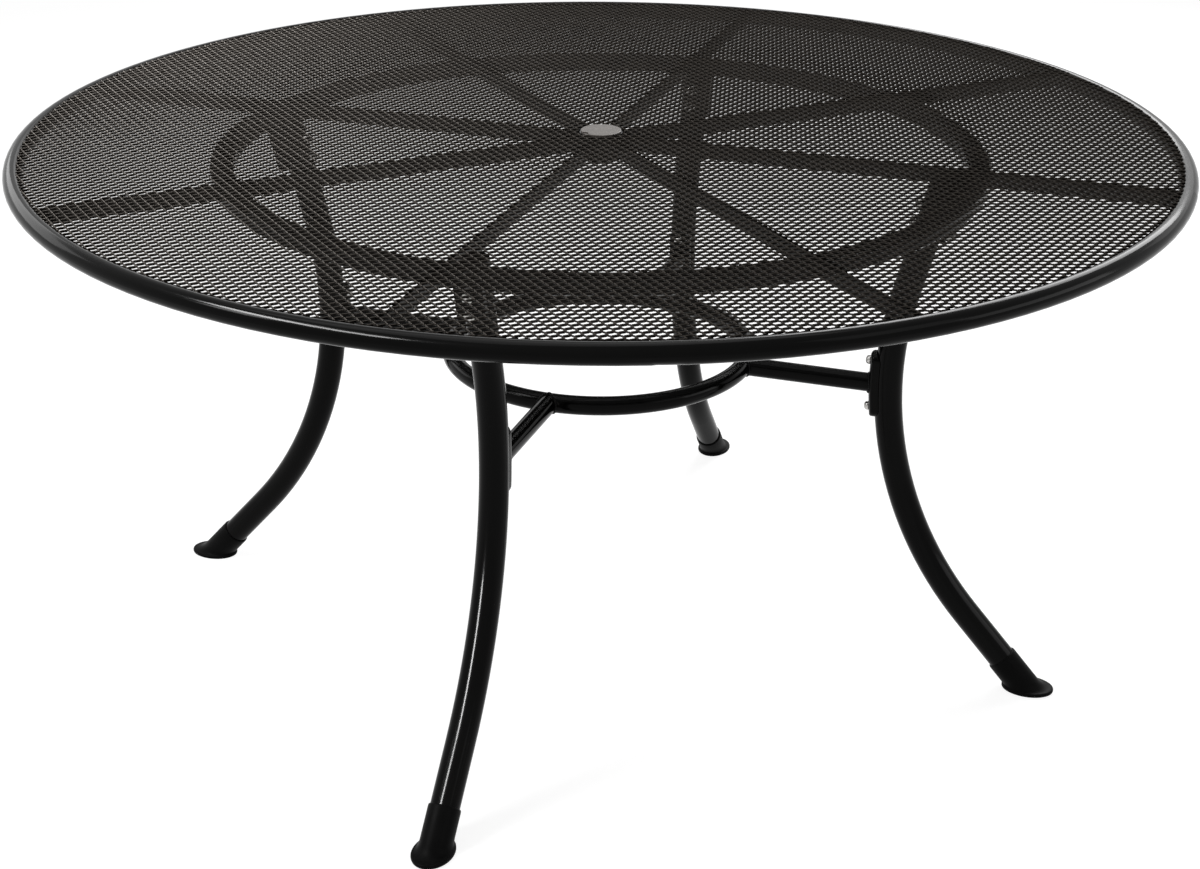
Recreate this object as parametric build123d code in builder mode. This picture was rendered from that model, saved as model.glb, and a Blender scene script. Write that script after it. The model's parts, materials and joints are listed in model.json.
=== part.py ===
from build123d import *
from math import asin, cos, degrees, hypot, radians, sin, sqrt, tan
import os

# Round garden table: an expanded steel top in a tubular rim, spokes from an umbrella hub, four
# bowed legs with plastic caps, and a lower ring whose arms bolt to the legs.
# Millimetres and degrees. +Z is up, the origin is on the ground under the middle of the top,
# and the legs stand on +X, +Y, -X and -Y.

os.makedirs("parts", exist_ok=True)

# Clearances
weld_gap = 0.2  # between faces that are welded or bolted together and don't share a curve
plug_clearance = 0.3  # around the plug's spigot
bolt_clearance = 0.3  # around a bolt's shank
thread_clearance = 0.1  # between a shank and its nut

# Rim and mesh
top_diameter = 1524.0  # over the rim
top_height = 726.0  # ground to the rim's crown
rim_tube = 25.0
rim_wall = 1.5
mesh_drop = 0.5  # mesh surface below the rim's crown
mesh_thickness = 3.5  # over the raised strands
mesh_short_way = 98.0  # diamonds of the sheet, drawn eight times as coarse as the real ones
mesh_long_way = 162.0
mesh_strand = 9.0
mesh_edge = 8.0  # whole border along the rim and round the hub
mesh_turn = 19.2  # of the short way, from +X
drain_hole = 5.0  # weep holes under each closed ring
drain_count = 4
drain_angle = 22.5

# Spokes, hub and plug
spoke_height = 20.0
spoke_thickness = 4.0
pole_bore = 48.0  # takes an umbrella pole
pole_bore_length = 16.0
plug_step = 1.0  # how much wider the plug's bore is, in radius
plug_bore_length = 18.0
hub_wall = 3.0
plug_lip = 1.75  # how far the plug's disc lies over the hub
plug_disc_thickness = 3.0
plug_disc_round = 1.0
plug_spigot_length = 14.0
plug_spigot_wall = 2.5
plug_notch = 5.0  # radius of the finger notch
plug_notch_depth = 1.5
plug_notch_angle = 236.0

# Support ring under the spokes
support_ring_width = 30.0
support_ring_height = 20.0
support_ring_corner = 3.0
support_ring_wall = 1.5

# Legs
leg_tube = 37.0
leg_wall = 2.0
waist_radius = 401.0  # leg's axis where it comes nearest to the middle
waist_height = 430.0
upper_sweep = 14.5  # lean of the straight run to the top, from upright
lower_sweep = 42.0  # lean of the straight run to the foot
foot_straight = 114.0  # length of the straight run to the foot
leg_end_height = 16.0  # leg's axis at its lower end

# Foot caps
foot_clearance = 0.2
foot_wall = 1.8
foot_grip = 35.0  # length of leg inside the cap
foot_mouth_round = 0.8
foot_pad_length = 70.0
foot_pad_width = 52.0
foot_pad_thickness = 5.0
foot_pad_round = 2.2
foot_pad_shift = 1.0  # pad's middle outside the point where the leg's axis meets the ground

# Brackets that hold the legs to the support ring
bracket_thickness = 8.0
bracket_width = 36.0
bracket_bolt_drop = 15.0  # first bolt below the ring
bracket_bolt_pitch = 24.0
bracket_tail = 10.0
bracket_bolt = 8.0
bracket_nut_flats = 13.0
bracket_nut_height = 6.5
bracket_bolt_tail = 3.0  # thread past the nut

# Lower ring, arms and saddle plates
brace_height = 420.0  # middle of the ring, the arms and the plates
stretcher_radius = 203.0
stretcher_tube = 25.0
stretcher_wall = 1.5
saddle_length = 90.0
saddle_thickness = 7.5
saddle_width = 32.0
saddle_corner = 12.0
saddle_bolt_pitch = 62.0
saddle_bolt = 6.0
saddle_nut_flats = 11.0
saddle_nut_height = 5.0
saddle_pilot_wall = 1.0
saddle_bolt_tail = 2.0

# Domed bolt heads, as multiples of the bolt's size, and nuts
head_width_ratio = 2.0
head_height_ratio = 1.0
head_round_ratio = 0.7
nut_sides = 6

# Levels and radii that follow
rim_radius = (top_diameter - rim_tube) / 2
rim_level = top_height - rim_tube / 2
mesh_top_level = top_height - mesh_drop
spoke_top = mesh_top_level - mesh_thickness
spoke_bottom = spoke_top - spoke_height
rim_half_chord = sqrt((rim_tube / 2) ** 2 - (spoke_top - rim_level) ** 2)
mesh_radius = rim_radius - rim_half_chord - weld_gap
pole_radius = pole_bore / 2
plug_bore_radius = pole_radius + plug_step
hub_radius = plug_bore_radius + hub_wall
hub_height = pole_bore_length + plug_bore_length
hub_top = mesh_top_level - mesh_thickness / 2
ring_bottom = spoke_bottom - support_ring_height
leg_radius = leg_tube / 2

# The leg's bow is one arc about a point outside the waist
lower_tangent_height = leg_end_height + foot_straight * cos(radians(lower_sweep))
bow_radius = (waist_height - lower_tangent_height) / sin(radians(lower_sweep))
bow_centre_radius = waist_radius + bow_radius
brace_sweep = degrees(asin((brace_height - waist_height) / bow_radius))

leg_sides = {"right": 0, "back": 90, "left": 180, "front": 270}
spoke_sides = {
    "right": 0,
    "back_right": 45,
    "back": 90,
    "back_left": 135,
    "left": 180,
    "front_left": 225,
    "front": 270,
    "front_right": 315,
}


def on_bow(sweep):
    """Radius and height of the leg's axis, at an angle above the waist."""
    turn = radians(sweep)
    return bow_centre_radius - bow_radius * cos(turn), waist_height + bow_radius * sin(turn)


def on_upper_run(height):
    """Radius and height of the leg's axis on its straight upper run."""
    start_radius, start_height = on_bow(upper_sweep)
    return start_radius + (height - start_height) * tan(radians(upper_sweep)), height


def on_lower_run(distance):
    """Radius and height of the leg's axis, a distance down its straight lower run."""
    start_radius, start_height = on_bow(-lower_sweep)
    turn = radians(lower_sweep)
    return start_radius + distance * sin(turn), start_height - distance * cos(turn)


def radial_plane(angle):
    """Upright plane through the table's axis: local x points outwards and local y up."""
    turn = radians(angle)
    return Plane((0, 0, 0), x_dir=(cos(turn), sin(turn), 0), z_dir=(sin(turn), -cos(turn), 0))


def seat_plane(angle, point, lean):
    """Plane on a leg's axis that faces the middle of the table, tipped up by lean."""
    upright = radial_plane(angle)
    facing = Vector(0, 0, sin(radians(lean))) - upright.x_dir * cos(radians(lean))
    return Plane(upright.from_local_coords(Vector(*point)), x_dir=upright.z_dir, z_dir=facing)


def save(piece, name):
    """Label a piece and write its file."""
    piece.part.label = name
    export_step(piece.part, f"parts/{name}.step")


# Rim
with BuildPart() as table_rim:
    with Locations((0, 0, rim_level)):
        Torus(rim_radius, rim_tube / 2)
        Torus(rim_radius, rim_tube / 2 - rim_wall, mode=Mode.SUBTRACT)
    with Locations((0, 0, rim_level - rim_tube / 2)):
        with PolarLocations(rim_radius, drain_count, start_angle=drain_angle):
            Cylinder(drain_hole / 2, rim_tube, mode=Mode.SUBTRACT)
save(table_rim, "table_rim")

# Mesh: one disc with staggered diamond gaps, solid along its edge and round the hub
half_short = mesh_short_way / 2
half_long = mesh_long_way / 2
gap_scale = 1 - mesh_strand / 2 * hypot(half_short, half_long) / (half_short * half_long)
mesh_hole_radius = hub_radius + weld_gap
gap_outer_radius = mesh_radius - mesh_edge
gap_inner_radius = mesh_hole_radius + mesh_edge
mesh_rows = int(mesh_radius / half_long) + 1
mesh_columns = int(mesh_radius / mesh_short_way) + 1
gap_corners = [
    (gap_scale * half_short, 0),
    (0, gap_scale * half_long),
    (-gap_scale * half_short, 0),
    (0, -gap_scale * half_long),
]
gap_centres = []
for row in range(-mesh_rows, mesh_rows + 1):
    for column in range(-mesh_columns, mesh_columns + 1):
        across = (column + row % 2 / 2) * mesh_short_way
        along = row * half_long
        if gap_inner_radius + mesh_strand < hypot(across, along) < gap_outer_radius - mesh_strand:
            gap_centres.append((across, along))

with BuildSketch() as mesh_gaps:
    with Locations(*gap_centres):
        Polygon(*gap_corners)
    Circle(gap_outer_radius, mode=Mode.INTERSECT)
    Circle(gap_inner_radius, mode=Mode.SUBTRACT)

with BuildPart() as mesh_top:
    with BuildSketch(Plane.XY.offset(spoke_top).rotated((0, 0, mesh_turn))):
        Circle(mesh_radius)
        Circle(mesh_hole_radius, mode=Mode.SUBTRACT)
        add(mesh_gaps.sketch, mode=Mode.SUBTRACT)
    extrude(amount=mesh_thickness)
save(mesh_top, "mesh_top")

# Spokes: flat bars on edge, coped to the rim's tube
for side, angle in spoke_sides.items():
    with BuildPart() as spoke:
        with BuildSketch(radial_plane(angle)):
            with Locations((hub_radius + weld_gap, spoke_bottom)):
                Rectangle(rim_radius - hub_radius - weld_gap, spoke_height, align=Align.MIN)
            with Locations((rim_radius, rim_level)):
                Circle(rim_tube / 2 + weld_gap, mode=Mode.SUBTRACT)
        extrude(amount=spoke_thickness / 2, both=True)
    save(spoke, f"spoke_{side}")

# Umbrella hub: the pole's bore below, the plug's wider bore above
with BuildPart() as umbrella_hub:
    with Locations((0, 0, hub_top)):
        Cylinder(hub_radius, hub_height, align=(Align.CENTER, Align.CENTER, Align.MAX))
        CounterBoreHole(pole_radius, plug_bore_radius, plug_bore_length)
save(umbrella_hub, "umbrella_hub")

# Plug: a disc on the hub's top, a hollow spigot in its bore and a notch for a finger
plug_disc_radius = plug_bore_radius + plug_lip
plug_spigot_radius = plug_bore_radius - plug_clearance
plug_top = hub_top + plug_disc_thickness
with BuildPart() as umbrella_plug:
    with Locations((0, 0, hub_top)):
        Cylinder(plug_disc_radius, plug_disc_thickness, align=(Align.CENTER, Align.CENTER, Align.MIN))
    fillet(umbrella_plug.edges().group_by(Axis.Z)[-1], plug_disc_round)
    with Locations((0, 0, hub_top)):
        Cylinder(plug_spigot_radius, plug_spigot_length, align=(Align.CENTER, Align.CENTER, Align.MAX))
        Cylinder(
            plug_spigot_radius - plug_spigot_wall,
            plug_spigot_length,
            align=(Align.CENTER, Align.CENTER, Align.MAX),
            mode=Mode.SUBTRACT,
        )
    with Locations((0, 0, plug_top)):
        with PolarLocations(plug_disc_radius, 1, start_angle=plug_notch_angle):
            Cylinder(plug_notch, 2 * plug_notch_depth, mode=Mode.SUBTRACT)
save(umbrella_plug, "umbrella_plug")

# Support ring: it lies against the outer faces of the leg brackets
bracket_bolt_levels = [
    ring_bottom - bracket_bolt_drop,
    ring_bottom - bracket_bolt_drop - bracket_bolt_pitch,
]
bracket_end_level = bracket_bolt_levels[-1] - bracket_tail
upper_turn = radians(upper_sweep)
bracket_inside = leg_radius + weld_gap
bracket_outside = bracket_inside + bracket_thickness
bracket_seat_radius = on_upper_run(ring_bottom)[0] + bracket_outside / cos(upper_turn)
ring_inner_radius = hypot(bracket_seat_radius + weld_gap, bracket_width / 2)
ring_radius = ring_inner_radius + support_ring_width / 2
ring_level = ring_bottom + support_ring_height / 2
with BuildPart() as support_ring:
    with BuildSketch(Plane.XZ):
        with Locations((ring_radius, ring_level)):
            RectangleRounded(support_ring_width, support_ring_height, support_ring_corner)
            RectangleRounded(
                support_ring_width - 2 * support_ring_wall,
                support_ring_height - 2 * support_ring_wall,
                support_ring_corner - support_ring_wall,
                mode=Mode.SUBTRACT,
            )
    revolve(axis=Axis.Z)
    with Locations((0, 0, ring_bottom)):
        with PolarLocations(ring_radius, drain_count, start_angle=drain_angle):
            Cylinder(drain_hole / 2, support_ring_height, mode=Mode.SUBTRACT)
save(support_ring, "support_ring")

# Seats of the fasteners on each leg
saddle_bolt_turn = degrees(asin(saddle_bolt_pitch / 2 / bow_radius))
saddle_bolt_sweeps = [brace_sweep + saddle_bolt_turn, brace_sweep - saddle_bolt_turn]
saddle_seats = {}
bracket_seats = {}
for side, angle in leg_sides.items():
    saddle_seats[side] = [seat_plane(angle, on_bow(sweep), sweep) for sweep in saddle_bolt_sweeps]
    bracket_seats[side] = [
        seat_plane(angle, on_upper_run(level), upper_sweep) for level in bracket_bolt_levels
    ]
pilot_radius = saddle_bolt / 2 + thread_clearance + saddle_pilot_wall
bracket_hole_radius = bracket_bolt / 2 + bolt_clearance

# Legs: a straight run up from the foot, the bow, and a straight run to the spokes
for side, angle in leg_sides.items():
    upright = radial_plane(angle)
    with BuildPart() as leg:
        with BuildLine(upright) as leg_axis:
            Line(on_lower_run(foot_straight), on_bow(-lower_sweep))
            CenterArc(
                (bow_centre_radius, waist_height), bow_radius, 180 + lower_sweep, -lower_sweep - upper_sweep
            )
            Line(on_bow(upper_sweep), on_upper_run(spoke_bottom + leg_tube))
        with BuildSketch(Plane(leg_axis.line @ 0, x_dir=upright.z_dir, z_dir=leg_axis.line % 0)):
            Circle(leg_radius)
            Circle(leg_radius - leg_wall, mode=Mode.SUBTRACT)
        sweep()
        split(bisect_by=Plane.XY.offset(spoke_bottom), keep=Keep.BOTTOM)
        with BuildSketch(*saddle_seats[side]):
            Circle(pilot_radius + bolt_clearance)
        extrude(amount=leg_tube, mode=Mode.SUBTRACT)
        with BuildSketch(*bracket_seats[side]):
            Circle(bracket_hole_radius)
        extrude(amount=leg_tube, both=True, mode=Mode.SUBTRACT)
    save(leg, f"leg_{side}")

# Foot caps: a sleeve on the leg's end and a flared pad on the ground
lower_turn = radians(lower_sweep)
foot_bore_radius = leg_radius + foot_clearance
foot_sleeve_radius = foot_bore_radius + foot_wall
foot_pad_radius = on_lower_run(foot_straight)[0] + leg_end_height * tan(lower_turn) + foot_pad_shift
foot_sleeve_length = foot_grip + leg_end_height / cos(lower_turn) + foot_sleeve_radius * tan(lower_turn)
for side, angle in leg_sides.items():
    upright = radial_plane(angle)
    mouth_centre = upright.from_local_coords(Vector(*on_lower_run(foot_straight - foot_grip)))
    down_leg = upright.x_dir * sin(lower_turn) - Vector(0, 0, cos(lower_turn))
    mouth = Plane(mouth_centre, x_dir=upright.z_dir, z_dir=down_leg)
    with BuildPart() as foot_cap:
        with BuildSketch(mouth):
            Circle(foot_sleeve_radius)
        extrude(amount=foot_sleeve_length)
        fillet(foot_cap.edges().filter_by(GeomType.CIRCLE).sort_by(Axis.Z)[-1], foot_mouth_round)
        split(bisect_by=Plane.XY, keep=Keep.TOP)
        with BuildSketch(Plane(upright.x_dir * foot_pad_radius, x_dir=upright.x_dir)):
            Ellipse(foot_pad_length / 2, foot_pad_width / 2)
        pad = extrude(amount=foot_pad_thickness, mode=Mode.PRIVATE)
        add(pad.fillet(foot_pad_round, pad.edges().group_by(Axis.Z)[-1]))
        with BuildSketch(mouth):
            Circle(foot_bore_radius)
        extrude(amount=foot_grip, mode=Mode.SUBTRACT)
    save(foot_cap, f"foot_cap_{side}")

# Leg brackets: plates along the leg's outer side, upright where they meet the support ring
end_radius, end_level = on_upper_run(bracket_end_level)
bracket_outline = [
    (on_upper_run(spoke_bottom)[0] + bracket_inside / cos(upper_turn), spoke_bottom),
    (bracket_seat_radius, spoke_bottom),
    (bracket_seat_radius, ring_bottom),
    (end_radius + bracket_outside * cos(upper_turn), end_level - bracket_outside * sin(upper_turn)),
    (end_radius + bracket_inside * cos(upper_turn), end_level - bracket_inside * sin(upper_turn)),
]
for side, angle in leg_sides.items():
    with BuildPart() as leg_bracket:
        with BuildSketch(radial_plane(angle)):
            Polygon(*bracket_outline, align=None)
        extrude(amount=bracket_width / 2, both=True)
        with BuildSketch(*bracket_seats[side]):
            Circle(bracket_hole_radius)
        extrude(amount=-2 * bracket_outside, mode=Mode.SUBTRACT)
    save(leg_bracket, f"leg_bracket_{side}")

# Lower ring
with BuildPart() as stretcher_ring:
    with Locations((0, 0, brace_height)):
        Torus(stretcher_radius, stretcher_tube / 2)
        Torus(stretcher_radius, stretcher_tube / 2 - stretcher_wall, mode=Mode.SUBTRACT)
    with Locations((0, 0, brace_height - stretcher_tube / 2)):
        with PolarLocations(stretcher_radius, drain_count, start_angle=drain_angle):
            Cylinder(drain_hole / 2, stretcher_tube, mode=Mode.SUBTRACT)
save(stretcher_ring, "stretcher_ring")

# Arms and saddle plates: each arm is coped to the ring and to the plate that hugs the leg's bow
saddle_inside = leg_radius + weld_gap
saddle_outside = saddle_inside + saddle_thickness
saddle_turn = degrees(asin(saddle_length / 2 / bow_radius))
arm_reach = on_bow(brace_sweep)[0] - stretcher_radius
for side, angle in leg_sides.items():
    upright = radial_plane(angle)
    bow_centre = upright.from_local_coords(Vector(bow_centre_radius, waist_height))
    ring_joint = upright.from_local_coords(Vector(stretcher_radius, brace_height))
    seam_side = upright.y_dir + upright.z_dir
    with BuildPart() as stretcher_arm:
        with BuildSketch(Plane(ring_joint, x_dir=seam_side, z_dir=upright.x_dir)):
            Circle(stretcher_tube / 2)
            Circle(stretcher_tube / 2 - stretcher_wall, mode=Mode.SUBTRACT)
        extrude(amount=arm_reach)
        with Locations((0, 0, brace_height)):
            Torus(stretcher_radius, stretcher_tube / 2 + weld_gap, mode=Mode.SUBTRACT)
        with Locations(Plane(bow_centre, x_dir=upright.x_dir, z_dir=upright.z_dir)):
            Torus(bow_radius, saddle_outside + weld_gap, mode=Mode.SUBTRACT)
    save(stretcher_arm, f"stretcher_arm_{side}")

    middle_seat = seat_plane(angle, on_bow(brace_sweep), brace_sweep)
    top_seat = seat_plane(angle, on_bow(brace_sweep + saddle_turn), brace_sweep + saddle_turn)
    with BuildPart() as saddle_plate:
        with BuildSketch(Plane(top_seat.origin, x_dir=top_seat.z_dir, z_dir=top_seat.y_dir)):
            with BuildLine():
                inner_arc = CenterArc((0, 0), saddle_inside, -90, 180)
                outer_arc = CenterArc((0, 0), saddle_outside, -90, 180)
                Line(inner_arc @ 0, outer_arc @ 0)
                Line(inner_arc @ 1, outer_arc @ 1)
            make_face()
        revolve(axis=Axis(bow_centre, upright.z_dir), revolution_arc=2 * saddle_turn)
        with BuildSketch(middle_seat):
            RectangleRounded(saddle_width, saddle_length, saddle_corner)
        extrude(amount=2 * saddle_outside, mode=Mode.INTERSECT)
        with BuildSketch(*saddle_seats[side]):
            Circle(saddle_bolt / 2 + bolt_clearance)
        extrude(amount=2 * saddle_outside, mode=Mode.SUBTRACT)
    save(saddle_plate, f"saddle_plate_{side}")


def domed_bolt(size, seat, end):
    """One bolt along Z of its seat plane: head above seat, shank down to end."""
    with BuildPart() as bolt:
        with Locations((0, 0, seat)):
            Cylinder(
                size * head_width_ratio / 2,
                size * head_height_ratio,
                align=(Align.CENTER, Align.CENTER, Align.MIN),
            )
        fillet(bolt.edges().group_by(Axis.Z)[-1], size * head_round_ratio)
        with Locations((0, 0, end)):
            Cylinder(size / 2, seat - end, align=(Align.CENTER, Align.CENTER, Align.MIN))
    return bolt.part


# Weld nuts inside the legs, with a pilot in the leg's wall, and the bolts that they take
saddle_nut_radius = saddle_nut_flats / sqrt(3)
saddle_nut_face = sqrt((leg_radius - leg_wall - weld_gap) ** 2 - saddle_nut_radius**2)
saddle_nut_back = saddle_nut_face - saddle_nut_height
with BuildPart() as saddle_nut:
    with BuildSketch(Plane.XY.offset(saddle_nut_back)):
        RegularPolygon(saddle_nut_radius, nut_sides)
    extrude(amount=saddle_nut_height)
    with BuildSketch(Plane.XY.offset(saddle_nut_face)):
        Circle(pilot_radius)
    extrude(amount=sqrt(leg_radius**2 - pilot_radius**2) - saddle_nut_face)
    with BuildSketch(Plane.XY.offset(saddle_nut_back)):
        Circle(saddle_bolt / 2 + thread_clearance)
    extrude(amount=leg_radius, mode=Mode.SUBTRACT)
saddle_bolt_part = domed_bolt(saddle_bolt, saddle_outside + weld_gap, saddle_nut_back - saddle_bolt_tail)
saddle_places = [seat for seats in saddle_seats.values() for seat in seats]

with BuildPart() as saddle_nuts:
    with Locations(*saddle_places):
        add(saddle_nut.part)
save(saddle_nuts, "saddle_nuts")

with BuildPart() as saddle_bolts:
    with Locations(*saddle_places):
        add(saddle_bolt_part)
save(saddle_bolts, "saddle_bolts")

# Through bolts at the top of each leg, with nuts on the bracket's outer face
bracket_nut_back = -bracket_outside - bracket_nut_height
with BuildPart() as bracket_nut:
    with BuildSketch(Plane.XY.offset(bracket_nut_back)):
        RegularPolygon(bracket_nut_flats / sqrt(3), nut_sides)
        Circle(bracket_bolt / 2 + thread_clearance, mode=Mode.SUBTRACT)
    extrude(amount=bracket_nut_height)
bracket_bolt_part = domed_bolt(bracket_bolt, leg_radius + weld_gap, bracket_nut_back - bracket_bolt_tail)
bracket_places = [seat for seats in bracket_seats.values() for seat in seats]

with BuildPart() as bracket_nuts:
    with Locations(*bracket_places):
        add(bracket_nut.part)
save(bracket_nuts, "bracket_nuts")

with BuildPart() as bracket_bolts:
    with Locations(*bracket_places):
        add(bracket_bolt_part)
save(bracket_bolts, "bracket_bolts")
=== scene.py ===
import json
import math

import bmesh
import bpy
from mathutils import Matrix, Vector


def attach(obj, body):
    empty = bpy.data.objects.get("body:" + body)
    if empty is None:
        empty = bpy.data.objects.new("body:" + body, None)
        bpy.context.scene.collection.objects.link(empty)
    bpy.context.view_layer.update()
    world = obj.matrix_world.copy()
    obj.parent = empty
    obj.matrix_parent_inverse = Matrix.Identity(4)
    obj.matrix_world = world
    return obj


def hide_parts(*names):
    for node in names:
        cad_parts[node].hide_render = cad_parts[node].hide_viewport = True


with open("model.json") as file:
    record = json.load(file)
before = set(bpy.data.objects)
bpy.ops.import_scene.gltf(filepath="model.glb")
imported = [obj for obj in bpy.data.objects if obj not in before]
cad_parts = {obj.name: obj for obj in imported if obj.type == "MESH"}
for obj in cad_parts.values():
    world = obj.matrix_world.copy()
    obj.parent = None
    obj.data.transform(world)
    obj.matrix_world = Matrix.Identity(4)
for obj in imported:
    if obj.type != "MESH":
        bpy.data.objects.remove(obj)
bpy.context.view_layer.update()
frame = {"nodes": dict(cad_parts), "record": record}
scene = bpy.context.scene
scene.view_settings.view_transform = "Standard"
mm = 0.001
quarterSides = ["right", "back", "left", "front"]


def addNode(tree, kind, values=None, **settings):
    node = tree.nodes.new(kind)
    for key, value in settings.items():
        setattr(node, key, value)
    for key, value in (values or {}).items():
        if isinstance(value, bpy.types.NodeSocket):
            tree.links.new(value, node.inputs[key])
        else:
            node.inputs[key].default_value = value
    return node


def addMath(tree, operation, *values):
    return addNode(tree, "ShaderNodeMath", dict(enumerate(values)), operation=operation).outputs[0]


def newTree(name, kinds):
    # a tree for geometry with named inputs, and the identifiers of their sockets
    tree = bpy.data.node_groups.new(name, "GeometryNodeTree")
    sockets = {}
    tree.interface.new_socket("Geometry", in_out="INPUT", socket_type="NodeSocketGeometry")
    for label, kind in kinds.items():
        sockets[label] = tree.interface.new_socket(label, in_out="INPUT", socket_type=kind).identifier
    tree.interface.new_socket("Geometry", in_out="OUTPUT", socket_type="NodeSocketGeometry")
    return tree, sockets, addNode(tree, "NodeGroupInput").outputs


def addTree(piece, name, tree, sockets, values):
    modifier = piece.modifiers.new(name, "NODES")
    modifier.node_group = tree
    for label, value in values.items():
        modifier[sockets[label]] = value


# Camera, at the place that the photograph was taken from
photoView = {
    "place": (0.8573, -2.5754, 1.5086),
    "turn": (65.795, -0.339, 18.538),  # degrees about X, Y and Z
    "lens": 63.97,
    "sensor": 36.0,
}


def addCamera(view):
    data = bpy.data.cameras.new("photoCamera")
    data.lens = view["lens"]
    data.sensor_width = view["sensor"]
    data.sensor_fit = "HORIZONTAL"
    camera = bpy.data.objects.new("photoCamera", data)
    camera.location = view["place"]
    camera.rotation_euler = [math.radians(angle) for angle in view["turn"]]
    scene.collection.objects.link(camera)
    scene.camera = camera


addCamera(photoView)
print("camera placed")

# Studio: an overhead light, a left key, fills behind and right, and panels that only glint in the paint
studio = {
    "fill": 0.056,  # world's level for soft light
    "sky": 0.907,  # world's level where it is seen, as pale as the far floor
    "floorColour": (0.3, 0.3, 0.3, 1),
    "floorLift": 0.89,
    "floorSize": 40.0,
    "floorDrop": 0.2 * mm,
}
lamps = {
    "overhead": {"from": (-0.4, 0.3, 3.4), "to": (0, 0, 0.7), "size": (2.6, 2.2), "watts": 34},
    "leftKey": {"from": (-2.1, -1.8, 2.9), "to": (0, -0.1, 0.7), "size": (0.7, 1.4), "watts": 60},
    "backFill": {"from": (0.6, 3.2, 2.7), "to": (0, 0, 0.7), "size": (2.4, 1.6), "watts": 105},
    "rightFill": {"from": (3.2, -1.2, 2.4), "to": (0, 0, 0.6), "size": (1.6, 1.6), "watts": 9},
}
glints = {
    "legStrip": {
        "onto": "legs",
        "from": (-1.18, -3.15, 1.7),
        "to": (0, -0.5, 0.3),
        "size": (0.42, 2.4),
        "watts": 600,
    },
    "rimStrip": {
        "onto": "rim",
        "from": (-1.6, -1.9, 2.9),
        "to": (0, -0.7, 0.7),
        "size": (2.2, 0.4),
        "watts": 240,
    },
    "backPanel": {
        "onto": "frame",
        "from": (0.3, 3.6, 1.9),
        "to": (0, 0, 0.73),
        "size": (6.4, 1.0),
        "watts": 17,
    },
    "leftPanel": {
        "onto": "frame",
        "from": (-3.2, 0.9, 1.7),
        "to": (-0.7, -0.2, 0.72),
        "size": (2.4, 1.2),
        "watts": 22,
    },
    "rightPanel": {
        "onto": "frame",
        "from": (3.3, 0.3, 1.3),
        "to": (0.7, 0, 0.72),
        "size": (2.0, 1.0),
        "watts": 16,
    },
    "netGlint": {
        "onto": "net",
        "from": (-2.6, 1.5, 2.6),
        "to": (-0.3, 0, 0.73),
        "size": (1.2, 1.2),
        "watts": 400,
        "colour": (1, 0.93, 0.86),
    },
}
glintPieces = {onto: bpy.data.collections.new(onto) for onto in ("legs", "rim", "frame", "net")}


def addLamp(name, lamp):
    data = bpy.data.lights.new(name, "AREA")
    data.shape = "RECTANGLE"
    data.size, data.size_y = lamp["size"]
    data.energy = lamp["watts"]
    data.color = lamp.get("colour", (1, 1, 1))
    light = bpy.data.objects.new(name, data)
    light.location = lamp["from"]
    aim = Vector(lamp["to"]) - Vector(lamp["from"])
    light.rotation_euler = aim.to_track_quat("-Z", "Y").to_euler()
    scene.collection.objects.link(light)
    return light


def addGlint(name, lamp):
    # seen only in the gloss of some pieces
    light = addLamp(name, lamp)
    light.visible_diffuse = False
    light.light_linking.receiver_collection = glintPieces[lamp["onto"]]


def seenRays(tree):
    # camera, mirror and see-through rays, which show the pale backdrop
    path = addNode(tree, "ShaderNodeLightPath").outputs
    seen = addMath(tree, "MAXIMUM", path["Is Camera Ray"], path["Is Glossy Ray"])
    return addMath(tree, "MAXIMUM", seen, path["Is Transmission Ray"])


def addBackdrop(look):
    world = bpy.data.worlds.new("studioWorld")
    world.use_nodes = True
    tree = world.node_tree
    tree.nodes.clear()
    level = addNode(
        tree, "ShaderNodeMapRange", {"Value": seenRays(tree), "To Min": look["fill"], "To Max": look["sky"]}
    )
    white = (1, 1, 1, 1)
    back = addNode(tree, "ShaderNodeBackground", {"Color": white, "Strength": level.outputs["Result"]})
    addNode(tree, "ShaderNodeOutputWorld", {"Surface": back.outputs[0]})
    scene.world = world

    finish = bpy.data.materials.new("floorFinish")
    finish.use_nodes = True
    tree = finish.node_tree
    tree.nodes.clear()
    pale = addNode(tree, "ShaderNodeBsdfDiffuse", {"Color": look["floorColour"]})
    lift = addMath(tree, "MULTIPLY", seenRays(tree), look["floorLift"])
    glow = addNode(tree, "ShaderNodeEmission", {"Strength": lift})
    both = addNode(tree, "ShaderNodeAddShader", {0: pale.outputs[0], 1: glow.outputs[0]})
    addNode(tree, "ShaderNodeOutputMaterial", {"Surface": both.outputs[0]})

    shape = bmesh.new()
    bmesh.ops.create_grid(shape, x_segments=1, y_segments=1, size=look["floorSize"] / 2)
    data = bpy.data.meshes.new("floor")
    shape.to_mesh(data)
    shape.free()
    data.materials.append(finish)
    floor = bpy.data.objects.new("floor", data)
    floor.location.z = -look["floorDrop"]
    scene.collection.objects.link(floor)


for lampName, lamp in lamps.items():
    addLamp(lampName, lamp)
addBackdrop(studio)
for glintName, glint in glints.items():
    addGlint(glintName, glint)
print("studio lit with", len(lamps) + len(glints), "lamps")

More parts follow.
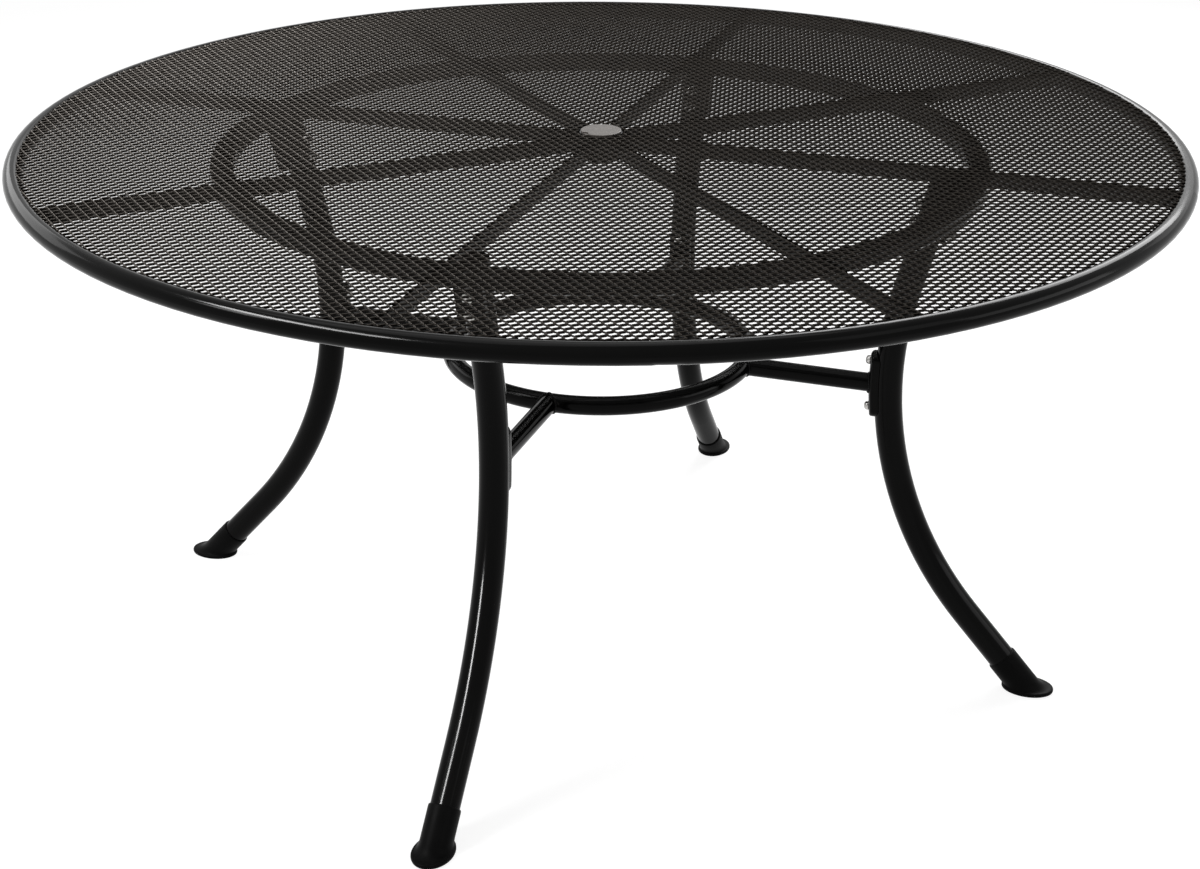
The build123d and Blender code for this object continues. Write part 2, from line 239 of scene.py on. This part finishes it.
# Finishes, one for each slot: clouded tones, a fine grain and an uneven gloss
finishLooks = {
    "frame_paint": {  # black powder coat with a faint orange peel
        "tones": [(0.3, (0.0016, 0.0016, 0.0015, 1)), (0.7, (0.0032, 0.0031, 0.003, 1))],
        "cloud": 6.0,
        "grain": 850.0,
        "grainDepth": 0.006,
        "gloss": (0.11, 0.16),
        "shine": 0.06,
        "metal": 0.0,
    },
    "mesh_paint": {  # charcoal powder coat
        "tones": [(0.3, (0.0225, 0.0192, 0.0163, 1)), (0.7, (0.036, 0.031, 0.0263, 1))],
        "cloud": 45.0,
        "grain": 1600.0,
        "grainDepth": 0.12,
        "gloss": (0.4, 0.52),
        "shine": 0.03,
        "metal": 0.0,
    },
    "plug_plastic": {  # warm grey moulding
        "tones": [(0.35, (0.07, 0.061, 0.055, 1)), (0.65, (0.115, 0.102, 0.092, 1))],
        "cloud": 160.0,
        "grain": 1900.0,
        "grainDepth": 0.15,
        "gloss": (0.42, 0.55),
        "shine": 0.4,
        "metal": 0.0,
    },
    "cap_plastic": {  # black moulding, duller than the paint
        "tones": [(0.3, (0.0028, 0.0028, 0.0028, 1)), (0.7, (0.0052, 0.0052, 0.0052, 1))],
        "cloud": 40.0,
        "grain": 1500.0,
        "grainDepth": 0.2,
        "gloss": (0.4, 0.48),
        "shine": 0.04,
        "metal": 0.0,
    },
    "bolt_steel": {  # bright zinc
        "tones": [(0.3, (0.42, 0.41, 0.4, 1)), (0.7, (0.56, 0.55, 0.53, 1))],
        "cloud": 260.0,
        "grain": 2400.0,
        "grainDepth": 0.1,
        "gloss": (0.22, 0.34),
        "shine": 0.5,
        "metal": 1.0,
    },
    "nut_steel": {  # dull zinc
        "tones": [(0.3, (0.36, 0.36, 0.34, 1)), (0.7, (0.5, 0.5, 0.47, 1))],
        "cloud": 200.0,
        "grain": 2000.0,
        "grainDepth": 0.15,
        "gloss": (0.36, 0.48),
        "shine": 0.5,
        "metal": 1.0,
    },
}


cloudDetail = 5.0
cloudSpan = (0.3, 0.7)  # share of the cloud that sets the gloss
grainDetail = 2.0
grainHeight = 0.3 * mm


def addFinish(name, look):
    finish = bpy.data.materials.new(name)
    finish.use_nodes = True
    tree = finish.node_tree
    tree.nodes.clear()
    place = addNode(tree, "ShaderNodeTexCoord").outputs["Object"]
    cloud = addNode(
        tree, "ShaderNodeTexNoise", {"Vector": place, "Scale": look["cloud"], "Detail": cloudDetail}
    )
    tone = addNode(tree, "ShaderNodeValToRGB", {"Fac": cloud.outputs["Fac"]})
    for stop, (spot, colour) in zip(tone.color_ramp.elements, look["tones"]):
        stop.position = spot
        stop.color = colour
    gloss = addNode(
        tree,
        "ShaderNodeMapRange",
        {
            "Value": cloud.outputs["Fac"],
            "From Min": cloudSpan[0],
            "From Max": cloudSpan[1],
            "To Min": look["gloss"][0],
            "To Max": look["gloss"][1],
        },
    )
    grain = addNode(
        tree, "ShaderNodeTexNoise", {"Vector": place, "Scale": look["grain"], "Detail": grainDetail}
    )
    bump = addNode(
        tree,
        "ShaderNodeBump",
        {"Height": grain.outputs["Fac"], "Strength": look["grainDepth"], "Distance": grainHeight},
    )
    surface = addNode(
        tree,
        "ShaderNodeBsdfPrincipled",
        {
            "Base Color": tone.outputs["Color"],
            "Roughness": gloss.outputs["Result"],
            "Normal": bump.outputs["Normal"],
            "Metallic": look["metal"],
            "Specular IOR Level": look["shine"],
        },
    )
    addNode(tree, "ShaderNodeOutputMaterial", {"Surface": surface.outputs[0]})
    return finish


finishes = {slot: addFinish(slot, look) for slot, look in finishLooks.items()}
for subpart in frame["record"]["subparts"]:
    node = frame["nodes"][subpart["node"]]
    if not node.material_slots:
        node.data.materials.append(None)
    for materialSlot in node.material_slots:
        materialSlot.material = finishes[subpart["material_slot"]]
    if subpart["material_slot"] == "frame_paint":
        glintPieces["frame"].objects.link(node)
    if subpart["node"].startswith("leg_"):
        glintPieces["legs"].objects.link(node)
glintPieces["rim"].objects.link(frame["nodes"]["table_rim"])

# Top: raised expanded steel, whose leaning bonds and twisted strands repeat in staggered rows
net = {
    "shortWay": 12.31 * mm,
    "rowStep": 10.04 * mm,
    "rowShift": -6.94 * mm,  # along the short way, from one row to the next
    "turn": -105.2,  # degrees, of the short way from +X
    "strandWidth": 3.0 * mm,
    "sheet": 1.45 * mm,
    "lean": 29.0,  # degrees, of the bonds about the long way
    "twist": 61.0,  # degrees, of the strands half-way
    "twistShares": (0.0, 0.12, 0.88, 1.0),
    "bond": 3.0 * mm,  # length of a bond along the long way
    "top": 726.2 * mm,
    "cutRadius": 744.5 * mm,  # inside the rim's tube
    "holeRadius": 30.0 * mm,
    "slack": 6.0 * mm,
    "weld": 0.01 * mm,  # points nearer than this are joined
    "sectors": [
        "mesh_right_back",
        "mesh_back_right",
        "mesh_back_left",
        "mesh_left_back",
        "mesh_left_front",
        "mesh_front_left",
        "mesh_front_right",
        "mesh_right_front",
    ],
}


def strandCell(look):
    # one bond and the two strands that leave its high side
    along = Vector((0, 1, 0))
    half = look["strandWidth"] / 2
    thick = look["sheet"] / 2
    reach = look["bond"] / 2
    shape = bmesh.new()

    def tilted(degrees):
        lean = math.radians(degrees)
        return Vector((math.cos(lean), 0, math.sin(lean))), Vector((-math.sin(lean), 0, math.cos(lean)))

    def band(sections):
        # a closed strip of quads from one section to the next, facing outwards
        rings = [[shape.verts.new(point) for point in section] for section in sections]
        for first, second in zip(rings, rings[1:]):
            middle = sum((vert.co for vert in first + second), Vector()) / (2 * len(first))
            for i in range(len(first)):
                j = (i + 1) % len(first)
                face = shape.faces.new([first[i], first[j], second[j], second[i]])
                face.normal_update()
                if face.normal.dot(face.calc_center_median() - middle) < 0:
                    face.normal_flip()

    across, up = tilted(look["lean"])

    def bondSection(side):
        spots = [(-2, -1), (0, -1), (2, -1), (2, 1), (0, 1), (-2, 1)]
        return [across * half * a + up * thick * b + along * side * reach for a, b in spots]

    def strandSection(centre, degrees):
        wide, high = tilted(degrees)
        spots = [(-1, -1), (1, -1), (1, 1), (-1, 1)]
        return [centre + wide * half * a + high * thick * b for a, b in spots]

    band([bondSection(-1), bondSection(1)])
    far = Vector((look["rowShift"] + look["shortWay"], look["rowStep"], 0))
    near = Vector((-look["rowShift"], -look["rowStep"], 0))
    twists = (look["lean"], look["twist"], look["twist"], look["lean"])
    for step, side in ((far, 1), (near, -1)):
        start = across * half + along * side * reach
        end = step - across * half - along * side * reach
        steps = zip(look["twistShares"], twists)
        band([strandSection(start.lerp(end, share), twist) for share, twist in steps])
    data = bpy.data.meshes.new("strandCell")
    shape.to_mesh(data)
    shape.free()
    return bpy.data.objects.new("strandCell", data)


def netTree():
    kinds = {name: "NodeSocketFloat" for name in ("Short way", "Row step", "Row shift", "Turn", "Level")}
    kinds |= {name: "NodeSocketFloat" for name in ("Cut radius", "Hole radius", "Slack", "Sectors", "Sector")}
    kinds |= {"Weld": "NodeSocketFloat", "Cell": "NodeSocketObject", "Finish": "NodeSocketMaterial"}
    tree, sockets, given = newTree("strandNet", kinds)

    def flatRadius():
        spot = addNode(tree, "GeometryNodeInputPosition").outputs[0]
        flat = addNode(tree, "ShaderNodeVectorMath", {0: spot, 1: (1, 1, 0)}, operation="MULTIPLY").outputs[0]
        return spot, addNode(tree, "ShaderNodeVectorMath", {0: flat}, operation="LENGTH").outputs["Value"]

    def offDisc(radius):
        outer = addMath(tree, "ADD", given["Cut radius"], given["Slack"])
        inner = addMath(tree, "SUBTRACT", given["Hole radius"], given["Slack"])
        beyond = addMath(tree, "GREATER_THAN", radius, outer)
        return addMath(tree, "MAXIMUM", beyond, addMath(tree, "LESS_THAN", radius, inner))

    # a lattice of points, one for each bond
    widest = addMath(tree, "MULTIPLY", addMath(tree, "ADD", given["Cut radius"], given["Slack"]), 2.0)
    rows = addMath(tree, "CEIL", addMath(tree, "DIVIDE", widest, given["Row step"]))
    columns = addMath(tree, "CEIL", addMath(tree, "DIVIDE", widest, given["Short way"]))
    grid = addNode(tree, "GeometryNodeMeshGrid", {"Vertices X": columns, "Vertices Y": rows})
    index = addNode(tree, "GeometryNodeInputIndex").outputs[0]
    column = addMath(tree, "FLOOR", addMath(tree, "DIVIDE", addMath(tree, "ADD", index, 0.5), rows))
    row = addMath(tree, "SUBTRACT", index, addMath(tree, "MULTIPLY", column, rows))
    row = addMath(tree, "SUBTRACT", row, addMath(tree, "MULTIPLY", rows, 0.5))
    span = addMath(tree, "MULTIPLY", columns, given["Short way"])
    halfSpan = addMath(tree, "MULTIPLY", span, 0.5)
    run = addMath(tree, "MULTIPLY", column, given["Short way"])
    run = addMath(tree, "ADD", run, addMath(tree, "MULTIPLY", row, given["Row shift"]))
    run = addMath(tree, "WRAP", run, halfSpan, addMath(tree, "MULTIPLY", halfSpan, -1.0))
    depth = addMath(tree, "MULTIPLY", row, given["Row step"])
    spot = addNode(tree, "ShaderNodeCombineXYZ", {"X": run, "Y": depth, "Z": given["Level"]}).outputs[0]
    points = addNode(tree, "GeometryNodeSetPosition", {"Geometry": grid.outputs["Mesh"], "Position": spot})
    turn = addNode(tree, "ShaderNodeCombineXYZ", {"Z": given["Turn"]}).outputs[0]
    turned = addNode(tree, "GeometryNodeTransform", {"Geometry": points.outputs[0], "Rotation": turn})

    # only the points of one sector, between the hole and the rim
    spot, radius = flatRadius()
    apart = addNode(tree, "ShaderNodeSeparateXYZ", {0: spot}).outputs
    angle = addMath(tree, "WRAP", addMath(tree, "ARCTAN2", apart["Y"], apart["X"]), 2 * math.pi, 0.0)
    share = addMath(tree, "MULTIPLY", angle, addMath(tree, "DIVIDE", given["Sectors"], 2 * math.pi))
    sector = addMath(tree, "FLOOR", share)
    elsewhere = addMath(tree, "COMPARE", sector, given["Sector"], 0.5)
    elsewhere = addMath(tree, "SUBTRACT", 1.0, elsewhere)
    outside = addMath(tree, "MAXIMUM", elsewhere, offDisc(radius))
    kept = addNode(tree, "GeometryNodeDeleteGeometry", {"Geometry": turned.outputs[0], "Selection": outside})

    cell = addNode(tree, "GeometryNodeObjectInfo", {"Object": given["Cell"]})
    placed = addNode(
        tree,
        "GeometryNodeInstanceOnPoints",
        {"Points": kept.outputs[0], "Instance": cell.outputs["Geometry"], "Rotation": turn},
    )
    solid = addNode(tree, "GeometryNodeRealizeInstances", {"Geometry": placed.outputs[0]})
    joined = addNode(
        tree, "GeometryNodeMergeByDistance", {"Geometry": solid.outputs[0], "Distance": given["Weld"]}
    )

    # strands are cut off round the rim and the hole
    spot, radius = flatRadius()
    loose = offDisc(radius)
    trimmed = addNode(tree, "GeometryNodeDeleteGeometry", {"Geometry": joined.outputs[0], "Selection": loose})
    held = addMath(tree, "MAXIMUM", radius, given["Hole radius"])
    held = addMath(tree, "MINIMUM", held, given["Cut radius"])
    pull = addMath(tree, "DIVIDE", held, radius)
    pull = addNode(tree, "ShaderNodeCombineXYZ", {"X": pull, "Y": pull, "Z": 1.0}).outputs[0]
    pulled = addNode(tree, "ShaderNodeVectorMath", {0: spot, 1: pull}, operation="MULTIPLY").outputs[0]
    edged = addNode(tree, "GeometryNodeSetPosition", {"Geometry": trimmed.outputs[0], "Position": pulled})
    painted = addNode(
        tree, "GeometryNodeSetMaterial", {"Geometry": edged.outputs[0], "Material": given["Finish"]}
    )
    addNode(tree, "NodeGroupOutput", {0: painted.outputs[0]})
    return tree, sockets


def plainMesh(holder, name):
    # the tree's result as a mesh of its own
    graph = bpy.context.evaluated_depsgraph_get()
    data = bpy.data.meshes.new_from_object(holder.evaluated_get(graph), depsgraph=graph)
    data.name = name
    holder.modifiers.clear()
    holder.data = data


def addNet(look):
    cell = strandCell(look)
    scene.collection.objects.link(cell)
    tree, sockets = netTree()
    lean = math.radians(look["lean"])
    level = look["top"] - look["strandWidth"] * math.sin(lean) - look["sheet"] / 2 * math.cos(lean)
    values = {
        "Short way": look["shortWay"],
        "Row step": look["rowStep"],
        "Row shift": look["rowShift"],
        "Turn": math.radians(look["turn"]),
        "Level": level,
        "Cut radius": look["cutRadius"],
        "Hole radius": look["holeRadius"],
        "Slack": look["slack"],
        "Weld": look["weld"],
        "Sectors": float(len(look["sectors"])),
        "Cell": cell,
        "Finish": finishes["mesh_paint"],
    }
    for sector, name in enumerate(look["sectors"]):
        piece = bpy.data.objects.new(name, bpy.data.meshes.new(name))
        scene.collection.objects.link(piece)
        addTree(piece, "net", tree, sockets, values | {"Sector": float(sector)})
        plainMesh(piece, name)
        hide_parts("mesh_top")
        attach(piece, "table")
        glintPieces["net"].objects.link(piece)
        print(name, len(piece.data.polygons), "faces")
    bpy.data.objects.remove(cell)


addNet(net)

# Foot caps: a sleeve on the leg that flares into a pad with a rounded rim
footCap = {
    "lean": 42.0,  # degrees, of the leg's last run from upright
    "mouth": (580.28 * mm, 42.01 * mm),  # radius and height of the sleeve's upper end
    "bore": 18.75 * mm,
    "sleeve": 20.5 * mm,
    "lip": [(1.6, -0.35), (0.0, -0.2), (-0.05, 0.5), (0.3, 1.1), (0.9, 1.4)],  # mm down and beyond the bore
    "lipDepth": 2.2 * mm,
    "pad": (619.1 * mm, 35.0 * mm, 26.0 * mm),  # radius of its middle and half of its length and width
    "flareTop": 15.0 * mm,
    "flareFoot": 5.6 * mm,
    "flareSteps": 9,
    "edge": [(1.3, 5.5), (0.5, 4.9), (0.0, 3.7), (0.0, 2.0), (0.5, 0.7), (1.6, 0.0)],  # mm in and up
    "segments": 56,
    "sides": quarterSides,
}


def loftMesh(name, rings, closed=False):
    # quads between closed rings, with the last ring filled, and the first where the shape is closed
    shape = bmesh.new()
    loops = [[shape.verts.new(point) for point in ring] for ring in rings]
    for first, second in zip(loops, loops[1:]):
        for i in range(len(first)):
            j = (i + 1) % len(first)
            shape.faces.new([first[i], first[j], second[j], second[i]])
    shape.faces.new(loops[-1])
    if closed:
        shape.faces.new(loops[0])
    bmesh.ops.recalc_face_normals(shape, faces=shape.faces)
    for face in shape.faces:
        face.smooth = closed or len(face.verts) == 4
    data = bpy.data.meshes.new(name)
    shape.to_mesh(data)
    shape.free()
    return data


def footRings(look):
    lean = math.radians(look["lean"])
    down = Vector((math.sin(lean), 0, -math.cos(lean)))
    outward = Vector((math.cos(lean), 0, math.sin(lean)))
    sideways = Vector((0, 1, 0))
    mouth = Vector((look["mouth"][0], 0, look["mouth"][1]))
    padMiddle, padLong, padWide = look["pad"]
    turns = [2 * math.pi * i / look["segments"] for i in range(look["segments"])]

    def onSleeve(turn, radius, run):
        return mouth + (outward * math.cos(turn) + sideways * math.sin(turn)) * radius + down * run

    def atHeight(turn, height):
        top = onSleeve(turn, look["sleeve"], 0)
        return top + down * ((top.z - height) / math.cos(lean))

    def onPad(turn, inset, height):
        reach = padMiddle + (padLong - inset) * math.cos(turn)
        return Vector((reach, (padWide - inset) * math.sin(turn), height))

    rings = []
    for run, beyond in look["lip"]:
        rings.append([onSleeve(turn, look["bore"] + beyond * mm, run * mm) for turn in turns])
    rings.append([onSleeve(turn, look["sleeve"], look["lipDepth"]) for turn in turns])
    inset, height = (value * mm for value in look["edge"][0])
    for step in range(look["flareSteps"] + 1):
        share = step / look["flareSteps"]
        ring = []
        for turn in turns:
            start = atHeight(turn, look["flareTop"])
            bend = atHeight(turn, look["flareFoot"])
            end = onPad(turn, inset, height)
            ring.append(start.lerp(bend, share).lerp(bend.lerp(end, share), share))
        rings.append(ring)
    for inset, height in look["edge"][1:]:
        rings.append([onPad(turn, inset * mm, height * mm) for turn in turns])
    return rings


def addFootCaps(look):
    for quarter, side in enumerate(look["sides"]):
        name = f"flared_foot_{side}"
        data = loftMesh(name, footRings(look))
        data.transform(Matrix.Rotation(quarter * math.pi / 2, 4, "Z"))
        data.materials.append(finishes["cap_plastic"])
        piece = bpy.data.objects.new(name, data)
        scene.collection.objects.link(piece)
        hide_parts(f"foot_cap_{side}")
        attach(piece, "table")
    print("foot caps", len(look["sides"]), "of", len(data.polygons), "faces")


addFootCaps(footCap)

# Saddle plates: pressed plates that hug the legs, with their edges rounded over
legBow = {"centre": (893.1 * mm, 430.0 * mm), "radius": 492.1 * mm}  # radius and height of its middle
saddlePlate = {
    "face": 26.2 * mm,  # from the leg's axis to the outer face
    "back": 18.7 * mm,
    "halfWidth": 16.0 * mm,
    "halfLength": 45.0 * mm,
    "middle": 419.6 * mm,
    "corner": 12.0 * mm,
    "rounding": 2.8 * mm,
    "backRounding": 0.8 * mm,
    "roundingSteps": 5,
    "cornerSteps": 10,
    "edgeSteps": 8,
    "rings": 6,  # of each face, towards its middle
    "sides": quarterSides,
}


def legAxis(height):
    centre, middle = legBow["centre"]
    return centre - math.sqrt(legBow["radius"] ** 2 - (height - middle) ** 2)


def plateOutline(look, inset):
    # points of a rounded rectangle, across and along the plate
    radius = look["corner"] - inset
    across = look["halfWidth"] - look["corner"]
    along = look["halfLength"] - look["corner"]
    corners = [(across, along), (-across, along), (-across, -along), (across, -along)]
    points = []
    for quarter, corner in enumerate(corners):
        for step in range(look["cornerSteps"] + 1):
            turn = math.pi / 2 * (quarter + step / look["cornerSteps"])
            points.append(Vector(corner) + radius * Vector((math.cos(turn), math.sin(turn))))
        nextCorner = Vector(corners[(quarter + 1) % 4])
        turn = math.pi / 2 * (quarter + 1)
        away = radius * Vector((math.cos(turn), math.sin(turn)))
        for step in range(1, look["edgeSteps"]):
            points.append(Vector(corner).lerp(nextCorner, step / look["edgeSteps"]) + away)
    return points


def plateRings(look):
    def placed(outline, reach):
        ring = []
        for across, along in outline:
            height = look["middle"] + along
            ring.append(Vector((legAxis(height) - math.sqrt(reach**2 - across**2), across, height)))
        return ring

    def face(inset, reach):
        outline = plateOutline(look, inset)
        shares = [step / look["rings"] for step in range(1, look["rings"])]
        return [placed([spot * share for spot in outline], reach) for share in shares]

    front, back = look["rounding"], look["backRounding"]
    rings = face(front, look["face"])
    for step in range(look["roundingSteps"] + 1):
        turn = math.pi / 2 * step / look["roundingSteps"]
        inset = front * (1 - math.sin(turn))
        rings.append(placed(plateOutline(look, inset), look["face"] - front * (1 - math.cos(turn))))
    for step in range(look["roundingSteps"] + 1):
        turn = math.pi / 2 * step / look["roundingSteps"]
        inset = back * (1 - math.cos(turn))
        rings.append(placed(plateOutline(look, inset), look["back"] + back * (1 - math.sin(turn))))
    return rings + face(back, look["back"])[::-1]


def addPlates(look):
    for quarter, side in enumerate(look["sides"]):
        name = f"rounded_plate_{side}"
        data = loftMesh(name, plateRings(look), closed=True)
        data.transform(Matrix.Rotation(quarter * math.pi / 2, 4, "Z"))
        data.materials.append(finishes["frame_paint"])
        piece = bpy.data.objects.new(name, data)
        scene.collection.objects.link(piece)
        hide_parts(f"saddle_plate_{side}")
        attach(piece, "table")
        glintPieces["frame"].objects.link(piece)
    print("saddle plates", len(look["sides"]), "of", len(data.polygons), "faces")


addPlates(saddlePlate)

# Weld beads: rippled fillets where each arm meets the lower ring and its saddle plate
weldBeads = {
    "level": 420.0 * mm,
    "tube": 12.5 * mm,  # radius of the arms and of the lower ring's tube
    "ring": 203.0 * mm,
    "saddle": saddlePlate["face"],
    "bead": 2.1 * mm,
    "ripple": 2.6 * mm,
    "rippleDepth": 0.16,
    "step": 0.65 * mm,
    "beadSides": 10,
    "points": 96,
    "arms": 4,
}


def weldLoops(look):
    loops = []
    for arm in range(look["arms"]):
        turn = Matrix.Rotation(arm * 2 * math.pi / look["arms"], 4, "Z")
        atRing = []
        atPlate = []
        for i in range(look["points"]):
            angle = 2 * math.pi * i / look["points"]
            aside = look["tube"] * math.cos(angle)
            height = look["level"] + look["tube"] * math.sin(angle)
            reach = math.sqrt((look["ring"] + abs(aside)) ** 2 - aside**2)
            atRing.append(turn @ Vector((reach, aside, height)))
            depth = math.sqrt(look["saddle"] ** 2 - aside**2)
            atPlate.append(turn @ Vector((legAxis(height) - depth, aside, height)))
        loops += [atRing, atPlate]
    return loops


def weldTree():
    kinds = {name: "NodeSocketFloat" for name in ("Bead", "Ripple", "Ripple depth", "Step")}
    kinds |= {"Sides": "NodeSocketInt", "Finish": "NodeSocketMaterial"}
    tree, sockets, given = newTree("weldBead", kinds)
    line = addNode(tree, "GeometryNodeMeshToCurve", {0: given["Geometry"]}).outputs[0]
    even = addNode(
        tree, "GeometryNodeResampleCurve", {"Curve": line, "Length": given["Step"]}, mode="LENGTH"
    )
    run = addNode(tree, "GeometryNodeSplineParameter").outputs["Length"]
    phase = addMath(tree, "MULTIPLY", addMath(tree, "DIVIDE", run, given["Ripple"]), 2 * math.pi)
    wave = addMath(tree, "MULTIPLY", addMath(tree, "SINE", phase), given["Ripple depth"])
    size = addMath(tree, "MULTIPLY", given["Bead"], addMath(tree, "ADD", wave, 1.0))
    ring = addNode(tree, "GeometryNodeCurvePrimitiveCircle", {"Resolution": given["Sides"], "Radius": 1.0})
    bead = addNode(
        tree,
        "GeometryNodeCurveToMesh",
        {"Curve": even.outputs[0], "Profile Curve": ring.outputs["Curve"], "Scale": size},
    )
    smooth = addNode(tree, "GeometryNodeSetShadeSmooth", {"Geometry": bead.outputs[0]})
    solid = addNode(tree, "GeometryNodeRealizeInstances", {"Geometry": smooth.outputs[0]})
    painted = addNode(
        tree, "GeometryNodeSetMaterial", {"Geometry": solid.outputs[0], "Material": given["Finish"]}
    )
    addNode(tree, "NodeGroupOutput", {0: painted.outputs[0]})
    return tree, sockets


def addWelds(look):
    shape = bmesh.new()
    for loop in weldLoops(look):
        verts = [shape.verts.new(point) for point in loop]
        for first, second in zip(verts, verts[1:] + verts[:1]):
            shape.edges.new([first, second])
    data = bpy.data.meshes.new("weldLines")
    shape.to_mesh(data)
    shape.free()
    piece = bpy.data.objects.new("stretcher_welds", data)
    scene.collection.objects.link(piece)
    tree, sockets = weldTree()
    values = {
        "Bead": look["bead"],
        "Ripple": look["ripple"],
        "Ripple depth": look["rippleDepth"],
        "Step": look["step"],
        "Sides": look["beadSides"],
        "Finish": finishes["frame_paint"],
    }
    addTree(piece, "bead", tree, sockets, values)
    plainMesh(piece, "stretcher_welds")
    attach(piece, "table")
    glintPieces["frame"].objects.link(piece)
    print("stretcher_welds", len(piece.data.polygons), "faces")


addWelds(weldBeads)
